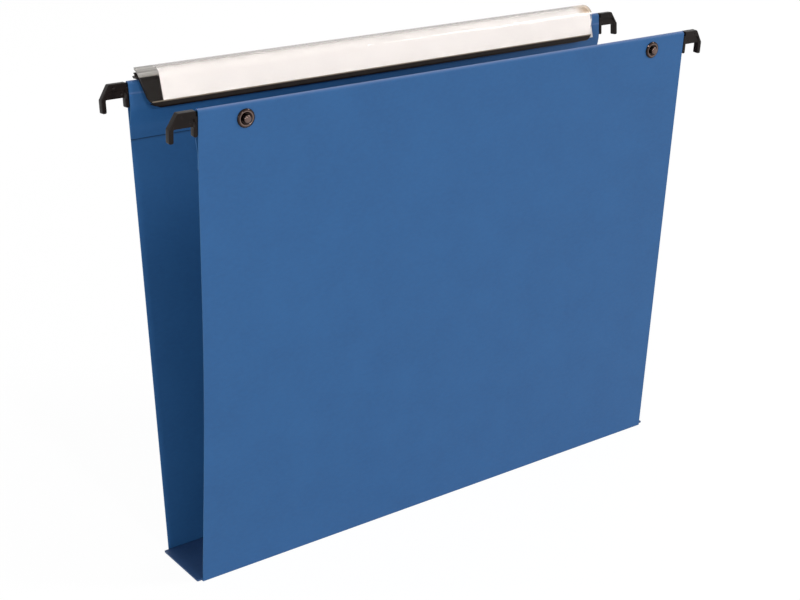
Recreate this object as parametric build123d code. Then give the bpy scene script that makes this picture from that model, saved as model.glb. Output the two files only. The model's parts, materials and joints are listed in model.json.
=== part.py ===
from build123d import *
from math import cos, radians, sin
import os

# Hanging file for a drawer, standing on its base with both panels spread.
# Millimetres, +Z up. X runs along the creases, the front panel faces -Y,
# and the origin is the middle of the underside.

# Card body
panel_width = 315.0       # card width, from open side to open side
panel_height = 256.0      # crease to top fold, up the panel
base_depth = 38.0         # crease to crease
lean = 4.0                # outward lean of each panel, in degrees
card = 0.5                # thickness of the card
crease_gap = 0.05         # between the base and the rounded foot of a panel
flap_depth = 29.5         # top fold to the edge of the flap glued down inside
jog_height = 8.0          # height over which the flap closes in below the rail
jog_bend = 8.0            # bend radius of the flap there
glue_rise = 2.0           # height of the glue fillet at the foot of the hem

# Stiffener board lying in the bottom
board_thickness = 1.0
board_overhang = 3.0      # stands out past the card at each end
board_side_gap = 0.4      # to the inside of each panel
board_corner = 1.5

# Steel rail inside each hem
rail_thickness = 2.0
rail_height = 12.0
rail_wall = 0.4
rail_room = 0.1           # between the rail and the card
rail_end_gap = 0.6        # the rail stops this far inside the card's edge

# Runner hooks, measured outwards from the card's edge and down from the top fold
hook_thickness = 3.6
hook_drop = 0.3
hook_gap = 0.4
inner_leg_width = 1.9
inner_leg_drop = 13.0
throat_width = 10.4
throat_drop = 7.9
outer_leg_width = 2.4
outer_leg_drop = 14.4
shoulder_width = 4.6
shoulder_drop = 7.6
hook_tip_round = 0.8
flange_depth = 4.0        # full-thickness band along the top of the hook
web_recess = 0.6          # the web below it is thinner by this on each face
relief_width = 0.9        # small gap left at the top, beside the card
relief_depth = 2.6
tongue_length = 16.0      # reaches this far into the rail
tongue_room = 0.1
tongue_lead = 1.5         # chamfer at the tongue's end

# Press studs
stud_inset = 25.0         # stud axis to the card's edge
stud_drop = 7.6           # stud axis below the top fold
stud_radius = 4.7
stud_rim = 0.5
stud_crest_radius = 3.5
stud_crest = 1.2
stud_dish_radius = 2.7
stud_dish = 0.7
nub_radius = 2.0
nub_neck_radius = 1.7
nub_neck_top = 1.0
nub_wall_low = 1.2
nub_wall_length = 1.0
nub_dome = 0.6
nub_flat = 0.45           # share of the nub's radius that is flat on top
post_radius = 1.25
post_room = 0.05
post_hole_room = 0.3      # around the post in the card and the rail
post_grip = 1.6           # the post reaches this far into a stud
cap_radius = 4.8
cap_height = 0.9
cap_flat_radius = 2.2     # flat top of the cap

# Sockets that take a neighbour's studs
socket_radius = 5.2
socket_rim = 0.6
barrel_radius = 3.7
barrel_height = 3.2
bore_radius = 2.1
socket_floor = 0.9
groove_radius = 2.8
groove_low = 1.7
groove_height = 0.7
spring_wire_radius = 0.25
spring_sides = 4          # the wire is drawn with flats
spring_bite = 0.1         # the ring stands this far into the bore
spring_arc = 320.0        # degrees of the split ring

# Label holder clipped over the back hem
holder_inset = 7.0        # card's edge to the holder's end, at the top, with the holder in the middle
holder_offset = 2.5       # the holder sits this far left of the middle, seen from the front
holder_slant = 4.5        # each end slants in by this towards the bottom
holder_corner = 2.5
holder_wall = 1.4
holder_drop = 14.3        # top fold to the holder's bottom
plate_tilt = 11.0         # degrees that the label plate leans forward at its foot
plate_room = 0.3          # between the plate and the rivet caps
clip_room = 0.2           # between the holder and the hem
clip_wall = 1.2
clip_depth = 4.5          # the clips reach this far below the top fold
clip_width = 24.0
clip_count = 4
shelf_height = 1.2
lip_wall = 0.8
lip_height = 3.4

# Clear cover, which slides endways on the holder
cover_wall = 1.0
slide_room = 0.2          # running gap of the cover
strip_room = 0.7          # gap between the plate and the cover
dome_rise = 3.7           # holder's top to the middle of the dome's roof
dome_overhang = 5.2       # middle of the hem to the middle of the dome's back wall
dome_front_radius = 4.5
dome_back_radius = 3.0
cover_corner = 2.5
foot_length = 3.9
foot_height = 0.7
keeper_lap = 0.6          # the keeper reaches this far over the cover's foot
keeper_height = 0.7
keeper_stem = 1.0

# Paper strip
strip_thickness = 0.25
strip_left_inset = 15.5   # card's left edge to the strip
strip_right_inset = 10.5  # card's right edge to the strip
strip_wrap = 60.0         # the strip goes round the dome's back bend by this many degrees

# Places that follow from the sizes above.
# In a panel's own frame X runs along the crease, Y points into the file from the middle of the hem
# and Z runs up the panel. The outer sheet runs straight from crease to top fold, at -hem_middle.
hem_middle = rail_thickness / 2 + rail_room + card / 2
hem_half = hem_middle + card / 2
flap_rest = card - hem_middle
fold_centre = panel_height - hem_half
rail_low = fold_centre + rail_thickness / 2 - rail_height
jog_high = rail_low - rail_room
jog_low = jog_high - jog_height
flap_low = panel_height - flap_depth
half_width = panel_width / 2
stud_x = half_width - stud_inset
stud_z = panel_height - stud_drop
tilt = radians(plate_tilt)
holder_top = clip_room + holder_wall
holder_half = half_width - holder_inset
plate_face = hem_half + cap_height + plate_room + holder_wall / cos(tilt)
plate_run = (holder_drop + holder_top) / cos(tilt)
channel = strip_room + cover_wall + slide_room
cover_middle = strip_room + cover_wall / 2
cover_low = shelf_height + slide_room - plate_run
roof = holder_top + dome_rise
strip_middle = strip_room / 2
strip_roof = roof - cover_middle + strip_middle
cover_inside = cover_wall / 2 - dome_overhang

FRONT, BACK = -1, 1
LEFT, RIGHT = -1, 1
SIDES = {"left": LEFT, "right": RIGHT}


def on_panel(side):
    """Frame of a standing panel: its crease, turned to face inwards, leaned out and set in to the hem."""
    turn = 0 if side == FRONT else 180
    crease = Pos(0, side * base_depth / 2, card / 2) * Rot(0, 0, turn)
    return crease * Rot(lean, 0, 0) * Pos(0, hem_middle, 0)


def along_crease(section, length):
    """Section drawn across a panel (Y, Z), drawn out evenly to both ends."""
    return extrude(Plane.YZ * section, length / 2, both=True)


def block(low, high):
    """Rectangle between two corners."""
    width = high[0] - low[0]
    height = high[1] - low[1]
    return Pos((low[0] + high[0]) / 2, (low[1] + high[1]) / 2) * Rectangle(width, height)


def turned(outline):
    """Round solid from a half outline of (radius, height), about Z."""
    return revolve(Plane.XZ * make_face(outline), Axis.Z)


def through_hem(hole):
    """A hole's solid, set through a hem on both stud axes."""
    return [Pos(end * stud_x, 0, stud_z) * hole for end in SIDES.values()]


def base_card():
    """Flat bottom between the creases."""
    depth = base_depth - card - 2 * crease_gap
    return Pos(0, 0, card / 2) * Box(panel_width, depth, card)


def base_board():
    """Stiffener that lies on the bottom and stands out at both open ends."""
    depth = base_depth - card - 2 * board_side_gap
    outline = RectangleRounded(panel_width + 2 * board_overhang, depth, board_corner)
    return Pos(0, 0, card) * extrude(outline, board_thickness)


def panel():
    """Card panel with a rounded foot, its top folded round the rail and its flap glued down inside."""
    wall = Line((-hem_middle, 0), (-hem_middle, fold_centre))
    fold = CenterArc((0, fold_centre), hem_middle, 0, 180)
    flap = FilletPolyline((hem_middle, fold_centre), (hem_middle, jog_high), (flap_rest, jog_low),
                          (flap_rest, flap_low), radius=jog_bend)
    section = trace(wall, card) + trace(fold, card) + trace(flap, card)
    section += Pos(-hem_middle, 0) * Circle(card / 2)
    section += block((-hem_middle, flap_low), (flap_rest, jog_low + glue_rise))
    punched = Rot(90, 0, 0) * Cylinder(post_radius + post_hole_room, 4 * hem_half)
    return along_crease(section, panel_width) - through_hem(punched)


def rail():
    """Roll-formed channel, open below, that fills the hem, with a square slot for each post."""
    middle = (rail_thickness - rail_wall) / 2
    section = trace(Line((-middle, rail_low), (-middle, fold_centre)), rail_wall)
    section += trace(CenterArc((0, fold_centre), middle, 0, 180), rail_wall)
    section += trace(Line((middle, rail_low), (middle, fold_centre)), rail_wall)
    slot = 2 * (post_radius + post_hole_room)
    return along_crease(section, panel_width - 2 * rail_end_gap) - through_hem(Box(slot, 4 * hem_half, slot))


def hook(end):
    """Moulded runner hook with a tongue that plugs into the rail; end is LEFT or RIGHT."""
    near = half_width + hook_gap
    throat_near = near + inner_leg_width
    throat_far = throat_near + throat_width
    far = throat_far + outer_leg_width
    top = panel_height - hook_drop
    throat_roof = panel_height - throat_drop
    corners = [
        ((near + relief_width, top), 0),
        ((far - shoulder_width, top), hook_tip_round),
        ((far, panel_height - shoulder_drop), hook_tip_round),
        ((far, panel_height - outer_leg_drop), hook_tip_round),
        ((throat_far, panel_height - outer_leg_drop), hook_tip_round),
        ((throat_far, throat_roof), hook_tip_round),
        ((throat_near, throat_roof), hook_tip_round),
        ((throat_near, panel_height - inner_leg_drop), hook_tip_round),
        ((near, panel_height - inner_leg_drop), hook_tip_round),
        ((near, top - relief_depth), 0),
        ((near + relief_width, top - relief_depth), 0),
    ]
    outline = FilletPolyline(*[p for p, r in corners], radius=[r for p, r in corners], close=True)
    body = extrude(Plane.XZ * make_face(outline), hook_thickness / 2, both=True)
    recess = block((throat_near, throat_roof - hook_tip_round), (throat_far, top - flange_depth))
    for face in (-1, 1):
        outer = Plane.XZ.offset(face * hook_thickness / 2) * recess
        body -= extrude(outer, face * -web_recess, dir=(0, -1, 0))
    tongue_low = rail_low + tongue_room
    tongue_high = fold_centre - tongue_room
    tongue = make_face(Polyline(
        (near, tongue_low), (near, tongue_high), (half_width - tongue_length + tongue_lead, tongue_high),
        (half_width - tongue_length, tongue_high - tongue_lead),
        (half_width - tongue_length, tongue_low + tongue_lead),
        (half_width - tongue_length + tongue_lead, tongue_low), close=True))
    tongue_thickness = rail_thickness - 2 * rail_wall - 2 * tongue_room
    body += extrude(Plane.XZ * tongue, tongue_thickness / 2, both=True)
    return body if end == RIGHT else mirror(body, Plane.YZ)


def stud_axis(end, depth, outward):
    """Place on a stud's axis, at this depth into the file, with Z pointing out of the file or into it."""
    return Pos(end * stud_x, depth, stud_z) * Rot(90 if outward else -90, 0, 0)


def stud(end):
    """Male half of a press stud: dished flange and a nub with a round head."""
    wall_high = nub_wall_low + nub_wall_length
    top = wall_high + nub_dome
    outline = Polyline(
        (0, 0), (stud_radius, 0), (stud_radius, stud_rim), (stud_crest_radius, stud_crest),
        (stud_dish_radius, stud_dish), (nub_neck_radius, stud_dish), (nub_neck_radius, nub_neck_top),
        (nub_radius, nub_wall_low), (nub_radius, wall_high), (nub_flat * nub_radius, top), (0, top),
        close=True)
    body = turned(outline)
    body -= Pos(0, 0, post_grip / 2) * Cylinder(post_radius + post_room, post_grip)
    return stud_axis(end, -hem_half, True) * body


def rivet(end, grip):
    """Low cap on the inside of a hem, with a post through to the stud or socket outside."""
    outline = Polyline((0, 0), (cap_radius, 0), (cap_flat_radius, cap_height), (0, cap_height), close=True)
    post_length = 2 * hem_half + grip
    body = turned(outline)
    body += Pos(0, 0, -post_length / 2) * Cylinder(post_radius, post_length)
    return stud_axis(end, hem_half, False) * body


def socket(end):
    """Female half: flange and barrel with a bore, grooved for the split ring."""
    groove_high = groove_low + groove_height
    outline = Polyline(
        (post_radius + post_room, 0), (socket_radius, 0), (socket_radius, socket_rim),
        (barrel_radius, 2 * socket_rim), (barrel_radius, barrel_height), (bore_radius, barrel_height),
        (bore_radius, groove_high), (groove_radius, groove_high), (groove_radius, groove_low),
        (bore_radius, groove_low), (bore_radius, socket_floor), (post_radius + post_room, socket_floor),
        close=True)
    return stud_axis(end, -hem_half, True) * turned(outline)


def socket_spring(end):
    """Split wire ring that lies in the socket's groove."""
    ring_radius = bore_radius - spring_bite + spring_wire_radius
    section = RegularPolygon(spring_wire_radius, spring_sides)
    wire = Plane.XZ * (Pos(ring_radius, groove_low + groove_height / 2) * section)
    return stud_axis(end, -hem_half, True) * revolve(wire, Axis.Z, spring_arc)


def over_hem(section):
    """Section drawn with its zero on the top fold, raised to the top of a panel."""
    return Pos(0, panel_height) * section


def on_plate(forward, up):
    """Point on the tilted label plate: forward of its face, and up it from the holder's top."""
    return (plate_face + forward * cos(tilt) - up * sin(tilt),
            holder_top + forward * sin(tilt) + up * cos(tilt))


def plate_block(low, high):
    """Rectangle in the label plate's tilted frame."""
    return Pos(*on_plate(0, 0)) * Rot(0, 0, plate_tilt) * block(low, high)


def label_silhouette(top):
    """Front outline of the holder and its cover: the ends slant in below the holder's top."""
    shoulder = panel_height + holder_top
    bottom = on_plate(channel + lip_wall, -plate_run)[1]
    bottom = panel_height + min(bottom, on_plate(-holder_wall, -plate_run)[1])
    low_half = holder_half - holder_slant
    outline = FilletPolyline(
        (-holder_half, top), (-holder_half, shoulder), (-low_half, bottom), (low_half, bottom),
        (holder_half, shoulder), (holder_half, top),
        radius=[0, 0, holder_corner, holder_corner, 0, 0], close=True)
    return extrude(Plane.XZ * make_face(outline), plate_face + plate_run, both=True)


def label_holder():
    """Long moulding: tilted plate with a channel at its foot, a top wall with a keeper, and clips behind."""
    back = -hem_half - clip_room - clip_wall
    toe = cover_inside + foot_length
    keeper_back = toe - keeper_lap
    stem_back = toe + slide_room
    keeper_low = holder_top + slide_room + foot_height + slide_room
    keeper_high = keeper_low + keeper_height
    section = block((back, clip_room), (plate_face, holder_top))
    section += plate_block((-holder_wall, -plate_run), (0, 0))
    section += plate_block((-holder_wall, -plate_run), (channel + lip_wall, shelf_height - plate_run))
    section += plate_block((channel, -plate_run), (channel + lip_wall, lip_height - plate_run))
    foot_front = on_plate(-holder_wall / 2, -plate_run)[0]
    section += block((hem_half + clip_room, -holder_drop), (foot_front, holder_wall - holder_drop))
    section += block((stem_back, holder_top), (stem_back + keeper_stem, keeper_high))
    section += block((keeper_back, keeper_low), (stem_back + keeper_stem, keeper_high))
    body = along_crease(over_hem(section), 2 * holder_half)
    body &= label_silhouette(panel_height + keeper_high)
    clip = block((back, -clip_depth), (-hem_half - clip_room, holder_top))
    span = 2 * (stud_x - socket_radius - clip_room)
    pitch = span / clip_count
    for i in range(clip_count):
        body += Pos((i + 0.5) * pitch - span / 2, 0, 0) * along_crease(over_hem(clip), clip_width)
    return body


def under_roof(forward, height):
    """Point where a line up the plate, forward of its face, meets a level of this height."""
    return on_plate(forward, (height - holder_top - forward * sin(tilt)) / cos(tilt))


def label_cover():
    """Clear cover: flat face in the holder's channel, low dome above, and a foot under the keeper."""
    foot_low = holder_top + slide_room
    line = FilletPolyline(
        on_plate(cover_middle, cover_low), under_roof(cover_middle, roof), (-dome_overhang, roof),
        (-dome_overhang, foot_low), radius=[dome_front_radius, dome_back_radius])
    section = trace(line, cover_wall)
    section += block((-dome_overhang, foot_low), (cover_inside + foot_length, foot_low + foot_height))
    body = along_crease(over_hem(section), 2 * holder_half)
    front = on_plate(cover_middle + cover_wall / 2, cover_low)[0]
    rear = cover_inside - cover_wall
    plan = Pos(0, (front + rear) / 2) * RectangleRounded(2 * holder_half, front - rear, cover_corner)
    tall = panel_height + roof + cover_wall
    return body & extrude(plan, tall) & label_silhouette(tall)


def label_strip():
    """Paper strip that lies on the plate under the cover and follows the dome over to its back."""
    below_cover = cover_middle - strip_middle
    back_bend = (dome_back_radius - dome_overhang, roof - dome_back_radius)
    line = FilletPolyline(
        on_plate(strip_middle, cover_low), under_roof(strip_middle, strip_roof), (back_bend[0], strip_roof),
        radius=dome_front_radius - below_cover)
    line += CenterArc(back_bend, dome_back_radius - below_cover, 90, strip_wrap)
    strip_length = panel_width - strip_left_inset - strip_right_inset
    middle = (strip_right_inset - strip_left_inset) / 2
    return Pos(middle, 0, 0) * along_crease(over_hem(trace(line, strip_thickness)), strip_length)


def pieces():
    """Every piece of the file, by name, where it stands."""
    made = {"base_card": base_card(), "base_board": base_board()}
    for name, side in (("front", FRONT), ("back", BACK)):
        made[f"{name}_panel"] = on_panel(side) * panel()
        made[f"{name}_rail"] = on_panel(side) * rail()
        for end_name, end in SIDES.items():
            own_end = end if side == FRONT else -end
            label = f"{name}_{end_name}"
            made[f"{label}_hook"] = on_panel(side) * hook(own_end)
            if side == FRONT:
                made[f"{label}_stud"] = on_panel(side) * stud(own_end)
                made[f"{label}_stud_rivet"] = on_panel(side) * rivet(own_end, post_grip - post_room)
            else:
                made[f"{label}_socket"] = on_panel(side) * socket(own_end)
                made[f"{label}_socket_spring"] = on_panel(side) * socket_spring(own_end)
                made[f"{label}_socket_rivet"] = on_panel(side) * rivet(own_end, socket_floor)
    made["label_holder"] = on_panel(BACK) * Pos(holder_offset, 0, 0) * label_holder()
    made["label_cover"] = on_panel(BACK) * Pos(holder_offset, 0, 0) * label_cover()
    made["label_strip"] = on_panel(BACK) * label_strip()
    return made


os.makedirs("parts", exist_ok=True)
for name, shape in pieces().items():
    export_step(shape, f"parts/{name}.step")
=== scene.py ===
import json
from math import asin, cos, pi, radians, sin, tan

import bmesh
import bpy
import numpy as np
from bpy.props import FloatProperty, FloatVectorProperty, IntProperty, PointerProperty
from bpy.types import Operator, Panel, PropertyGroup
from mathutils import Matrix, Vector


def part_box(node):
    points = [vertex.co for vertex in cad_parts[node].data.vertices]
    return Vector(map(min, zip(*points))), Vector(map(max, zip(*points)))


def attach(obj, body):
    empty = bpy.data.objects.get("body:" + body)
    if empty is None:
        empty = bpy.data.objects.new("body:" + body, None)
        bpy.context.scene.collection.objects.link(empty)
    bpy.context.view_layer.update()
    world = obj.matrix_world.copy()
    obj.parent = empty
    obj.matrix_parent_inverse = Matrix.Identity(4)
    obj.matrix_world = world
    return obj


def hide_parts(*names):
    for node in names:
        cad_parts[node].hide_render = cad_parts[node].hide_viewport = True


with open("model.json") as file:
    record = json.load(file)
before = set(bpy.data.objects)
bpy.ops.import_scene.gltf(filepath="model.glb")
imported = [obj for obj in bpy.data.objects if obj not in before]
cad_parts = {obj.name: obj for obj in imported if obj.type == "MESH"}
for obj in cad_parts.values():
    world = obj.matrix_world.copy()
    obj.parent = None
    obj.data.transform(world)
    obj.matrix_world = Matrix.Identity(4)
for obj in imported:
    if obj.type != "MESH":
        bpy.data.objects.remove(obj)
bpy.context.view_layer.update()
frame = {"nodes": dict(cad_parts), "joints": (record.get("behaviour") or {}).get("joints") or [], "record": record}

bl_info = {
    "name": "Hanging File",
    "version": (1, 0, 0),
    "blender": (4, 5, 0),
    "location": "3D View > Sidebar > Hanging File",
    "description": "Dresses a card hanging file: panels, hooks, press studs and label holder",
    "category": "Add Mesh",
}

# Lengths are in metres. Points closer than SAME_POINT are merged. The sensor's width is in millimetres.
MM = 0.001
SAME_POINT = 0.002 * MM
SENSOR_WIDTH = 36.0

# Places that the frame gives. In a panel's own frame x runs along the crease, v points into the file
# from the middle of the hem and w runs up the panel from the crease.
JOINTS = {joint["name"]: joint for joint in frame["joints"]}
MOUNTS = {mount["name"]: mount for mount in frame["record"]["mounts"]}
STUD_MOUNT = MOUNTS["front_right_stud_nub"]
LEAN = asin(-STUD_MOUNT["axis"][2])
CREASE_Y, CREASE_Z = JOINTS["front_fold"]["pos_m"][1:]
CARD = 2 * CREASE_Z
HALF_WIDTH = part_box("front_panel")[1].x
HOLDER_ENDS = -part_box("label_holder")[1].x, -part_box("label_holder")[0].x
STRIP_ENDS = -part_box("label_strip")[1].x, -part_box("label_strip")[0].x
STUD_X = STUD_MOUNT["pos_m"][0]
STUD_W = (CREASE_Y - STUD_MOUNT["pos_m"][1]) * sin(LEAN) + (STUD_MOUNT["pos_m"][2] - CREASE_Z) * cos(LEAN)
PANEL_BOX_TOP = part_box("front_panel")[1].z

# Sides of the file along x, as seen from the front.
ENDS = {"left": -1, "right": 1}


def setting(kind, scale=None, **fixed):
    """A maker of settings that the user can change, from a name, a description and a value.
    The value is multiplied by scale, if there is one."""
    def make(name, description, value):
        """One setting of this kind."""
        return kind(name=name, description=description, default=value * scale if scale else value, **fixed)
    return make


length = setting(FloatProperty, MM, unit="LENGTH", precision=5)
angle = setting(FloatProperty, radians(1), subtype="ANGLE")
amount = setting(FloatProperty, subtype="FACTOR", precision=4)
power = setting(FloatProperty, unit="POWER")
focal = setting(FloatProperty, unit="CAMERA")
number = setting(IntProperty, min=1)
place = setting(FloatVectorProperty, size=3, subtype="XYZ", unit="LENGTH")
colour = setting(FloatVectorProperty, size=3, subtype="COLOR", min=0.0, max=1.0)


class CardSizes(PropertyGroup):
    """The folded card."""

    hem_half: length("Hem half", "Middle of the hem to its outer face", 1.6)
    flap_depth: length("Flap depth", "Top fold to the edge of the flap glued down inside", 29.5)
    rail_depth: length("Rail depth", "Top fold to the place where the flap starts to close in", 12.7)
    close_in: length("Close in", "Height over which the flap closes in below the rail", 11.0)
    score_drop: length("Score drop", "Top fold to the faint score line inside the hem", 6.3)
    score_width: length("Score width", "Half width of the score line", 0.45)
    score_depth: length("Score depth", "Height of the score line's ridge", 0.16)
    crease_width: length("Crease width", "Width of the shade below the flap's edge", 0.8)
    bow: length("Bow", "How far the free front edge bows outwards at mid height", 3.0)
    ripple: length("Ripple", "Height of the gentle waves in the card", 0.15)
    base_corner: length("Base corner", "Corner radius of the base's card", 0.3)
    base_edge: length("Base edge", "Rounding of that card's cut edge", 0.02)
    board_corner: length("Board corner", "Corner radius of the stiffener board", 0.6)
    board_edge: length("Board edge", "Rounding of the stiffener board's cut edge", 0.15)


class HookSizes(PropertyGroup):
    """The moulded runner hooks, outwards from the card's edge and down from the top fold."""

    thickness: length("Thickness", "Thickness of the hook", 3.6)
    top_drop: length("Top drop", "Top fold to the hook's top", 0.3)
    gap: length("Gap", "Card's edge to the hook", 0.4)
    inner_leg: length("Inner leg", "Width of the leg beside the card", 1.9)
    inner_drop: length("Inner drop", "Top fold to the tip of the inner leg", 13.0)
    throat: length("Throat", "Width of the notch for the runner", 10.4)
    throat_drop: length("Throat drop", "Top fold to the roof of the notch", 7.9)
    outer_leg: length("Outer leg", "Width of the outer leg", 2.4)
    outer_drop: length("Outer drop", "Top fold to the tip of the outer leg", 14.4)
    shoulder: length("Shoulder", "Width of the slanted shoulder", 4.6)
    shoulder_drop: length("Shoulder drop", "Top fold to the foot of the shoulder", 7.6)
    tip_round: length("Tip round", "Radius of the leg tips and corners", 0.8)
    edge_round: length("Edge round", "Radius of the moulded edges", 0.4)
    flange: length("Flange", "Depth of the full-thickness band along the top", 4.0)
    recess: length("Recess", "The web below the band is thinner by this on each face", 0.6)
    relief_width: length("Relief width", "Width of the small gap at the top, beside the card", 0.9)
    relief_depth: length("Relief depth", "Depth of that gap", 2.6)
    tongue: length("Tongue", "Length of the tongue inside the rail", 16.0)
    tongue_height: length("Tongue height", "Height of the tongue", 10.9)
    tongue_thickness: length("Tongue thickness", "Thickness of the tongue", 1.0)
    tongue_lead: length("Tongue lead", "Chamfer at the tongue's end", 1.5)
    pit_radius: length("Pit radius", "Radius of the small pits left by the moulding pins", 0.45)
    pit_depth: length("Pit depth", "Depth of those pits", 0.3)


class StudSizes(PropertyGroup):
    """The press studs and their sockets, as radii and as heights from the hem."""

    flange: length("Flange", "Radius of the stud's flange", 4.7)
    rim: length("Rim", "Height of the flange's rim", 0.5)
    crest: length("Crest", "Radius of the raised ring", 3.5)
    crest_height: length("Crest height", "Height of the raised ring", 1.2)
    dish: length("Dish", "Radius of the dish round the nub", 2.7)
    dish_height: length("Dish height", "Height of the dish", 0.7)
    neck: length("Neck", "Radius of the nub's neck", 1.7)
    neck_height: length("Neck height", "Height where the neck ends", 1.0)
    nub: length("Nub", "Radius of the nub", 2.0)
    nub_low: length("Nub low", "Height where the nub is full", 1.2)
    nub_high: length("Nub high", "Height of the nub's top", 2.8)
    cap: length("Cap", "Radius of the cap inside the hem", 4.8)
    cap_rim: length("Cap rim", "Height of the cap's rim", 0.25)
    cap_height: length("Cap height", "Height of the cap", 0.9)
    post: length("Post", "Radius of the cap's post", 1.25)
    stud_grip: length("Stud grip", "The post reaches this far into a stud", 1.55)
    socket_grip: length("Socket grip", "The post reaches this far into a socket", 0.9)
    socket: length("Socket", "Radius of the socket's flange", 5.2)
    barrel: length("Barrel", "Radius of the socket's barrel", 3.7)
    barrel_height: length("Barrel height", "Height of the socket's barrel", 3.2)
    bore: length("Bore", "Radius of the socket's bore", 2.1)
    groove: length("Groove", "Radius of the groove for the split ring", 2.8)
    groove_low: length("Groove low", "Height of the groove's lower side", 1.7)
    groove_high: length("Groove high", "Height of the groove's upper side", 2.4)
    wire: length("Wire", "Radius of the split ring's wire", 0.25)
    ring: length("Ring", "Radius of the split ring", 2.25)
    ring_arc: angle("Ring arc", "Arc of the split ring", 320.0)
    sides: number("Sides", "Sides of every round piece", 56)


class LabelSizes(PropertyGroup):
    """The label holder, its clear cover and its paper strip."""

    slant: length("Slant", "The holder's ends slant in by this towards the bottom", 4.5)
    corner: length("Corner", "Radius of the holder's lower corners", 6.5)
    wall: length("Wall", "Wall of the holder", 1.4)
    drop: length("Drop", "Top fold to the holder's bottom", 14.3)
    tilt: angle("Tilt", "The label plate leans forward at its foot", 11.0)
    cap_room: length("Cap room", "Hem to the back of the plate, for the stud caps", 1.2)
    clip_room: length("Clip room", "Between the holder and the hem", 0.2)
    clip_wall: length("Clip wall", "Wall of the clips behind the hem", 1.2)
    clip_depth: length("Clip depth", "The clips reach this far below the top fold", 4.5)
    clip_width: length("Clip width", "Width of a clip", 24.0)
    clip_count: number("Clips", "Clips behind the hem", 4)
    shelf: length("Shelf", "Height of the shelf at the plate's foot", 1.2)
    lip_wall: length("Lip wall", "Wall of the lip in front of the strip", 0.8)
    lip_height: length("Lip height", "Height of the lip", 3.4)
    cover_wall: length("Cover wall", "Wall of the clear cover", 1.0)
    slide_room: length("Slide room", "Running gap of the cover", 0.2)
    strip_room: length("Strip room", "Gap between the plate and the cover", 0.7)
    dome_rise: length("Dome rise", "Holder's top to the middle of the dome's roof", 3.7)
    dome_overhang: length("Dome overhang", "Middle of the hem to the middle of the dome's back wall", 5.2)
    dome_front: length("Dome front", "Radius of the dome's bend in front", 7.2)
    dome_back: length("Dome back", "Radius of the dome's bend at the back", 3.0)
    cover_corner: length("Cover corner", "Corner radius of the cover's ends, from above", 2.5)
    cover_end: length("Cover end", "Corner radius at the back of the cover's left end, from above", 7.0)
    foot_length: length("Foot length", "Foot of the cover, under the keeper", 3.9)
    foot_height: length("Foot height", "Height of that foot", 0.7)
    keeper_lap: length("Keeper lap", "The keeper reaches this far over the cover's foot", 0.6)
    keeper_height: length("Keeper height", "Height of the keeper", 0.7)
    keeper_stem: length("Keeper stem", "Width of the keeper's stem", 1.0)
    paper: length("Paper", "Thickness of the strip", 0.25)
    paper_wrap: angle("Paper wrap", "The strip goes round the dome's back bend by this", 60.0)
    edge_round: length("Edge round", "Radius of the moulded edges", 0.3)


class Finishes(PropertyGroup):
    """Colours of the finishes."""

    card_blue: colour("Card blue", "Dyed card", (0.020, 0.113, 0.305))
    card_deep: colour("Card deep", "Darker fibres of the card", (0.017, 0.101, 0.278))
    # Lighter than the card's blue: a painted highlight along the cut edges.
    card_cut: colour("Card cut", "Cut edge of the card", (0.020, 0.150, 0.360))
    # Darker copy of the card's blue: painted shade for the file's bottom.
    board_blue: colour("Board blue", "Stiffener board", (0.024, 0.077, 0.208))
    plastic: colour("Plastic", "Moulded hooks and label holder", (0.0085, 0.0052, 0.0042))
    bronze: colour("Bronze", "Press studs", (0.060, 0.042, 0.037))
    steel: colour("Steel", "Rails and split rings", (0.56, 0.57, 0.58))
    # Painted highlight on the top fold's crest and on the score line.
    fold: colour("Fold", "Card where a fold is rubbed", (0.125, 0.21, 0.44))
    # Painted highlight along the top edge of the holder's lip.
    edge: colour("Edge", "Plastic where an edge is rubbed", (0.34, 0.28, 0.21))
    clear: colour("Clear", "Tint of the cover", (0.955, 0.945, 0.935))
    # Painted shade on the dome's crown.
    smoke: colour("Smoke", "Tint of the dome's crown", (0.44, 0.405, 0.385))
    # Painted grey reflections in streaks at the cover's left end, and a darker painted reflection past the strip's
    # left end.
    dull: colour("Dull", "Darker streaks of the cover's frosted end", (0.36, 0.345, 0.325))
    # Painted yellowish-brown reflection on the dome's right end.
    amber: colour("Amber", "Tint of the dome's right end", (0.66, 0.55, 0.44))
    paper: colour("Paper", "Label strip", (0.775, 0.74, 0.725))
    floor: colour("Floor", "Floor under the file", (0.80, 0.80, 0.80))


class StageSettings(PropertyGroup):
    """Camera, lamps and floor."""

    azimuth: angle("Azimuth", "Camera's turn round the file; 0 faces the front panel", -36.05)
    elevation: angle("Elevation", "Camera's height angle", 19.28)
    distance: length("Distance", "Camera to the point it faces", 823.0)
    target: place("Target", "Point that the camera and the lamps face", (-0.0168, 0.0, 0.1486))
    lens: focal("Lens", "Focal length on a 36 mm sensor", 67.31)
    rise: amount("Rise", "Camera's vertical shift", -0.0625)
    fill: amount("Fill", "Strength of the even light from all sides", 0.225)
    key_power: power("Key power", "Power of the lamp high on the right", 42.0)
    key_size: length("Key size", "Width of that lamp", 1000.0)
    key_place: place("Key place", "Where it stands", (2.8, -2.0, 2.45))
    front_power: power("Front power", "Power of the low lamp in front", 27.0)
    front_size: length("Front size", "Width of that lamp", 300.0)
    front_place: place("Front place", "Where it stands", (-0.2, -3.5, 1.42))
    side_power: power("Side power", "Power of the lamp at the open left side", 55.0)
    side_size: length("Side size", "Width of that lamp", 1000.0)
    side_place: place("Side place", "Where it stands", (-3.2, -2.4, 1.0))
    rim_power: power("Rim power", "Power of the lamp above and behind the file", 7.0)
    rim_size: length("Rim size", "Width of that lamp", 1600.0)
    rim_place: place("Rim place", "Where it stands", (1.2, 0.9, 1.75))
    floor_size: length("Floor size", "Half width of the floor", 8000.0)
    floor_glow: amount("Floor glow", "Share of plain white that the floor shows the camera", 0.88)
    floor_white: amount("Floor white", "Strength of that white", 1.08)


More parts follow.
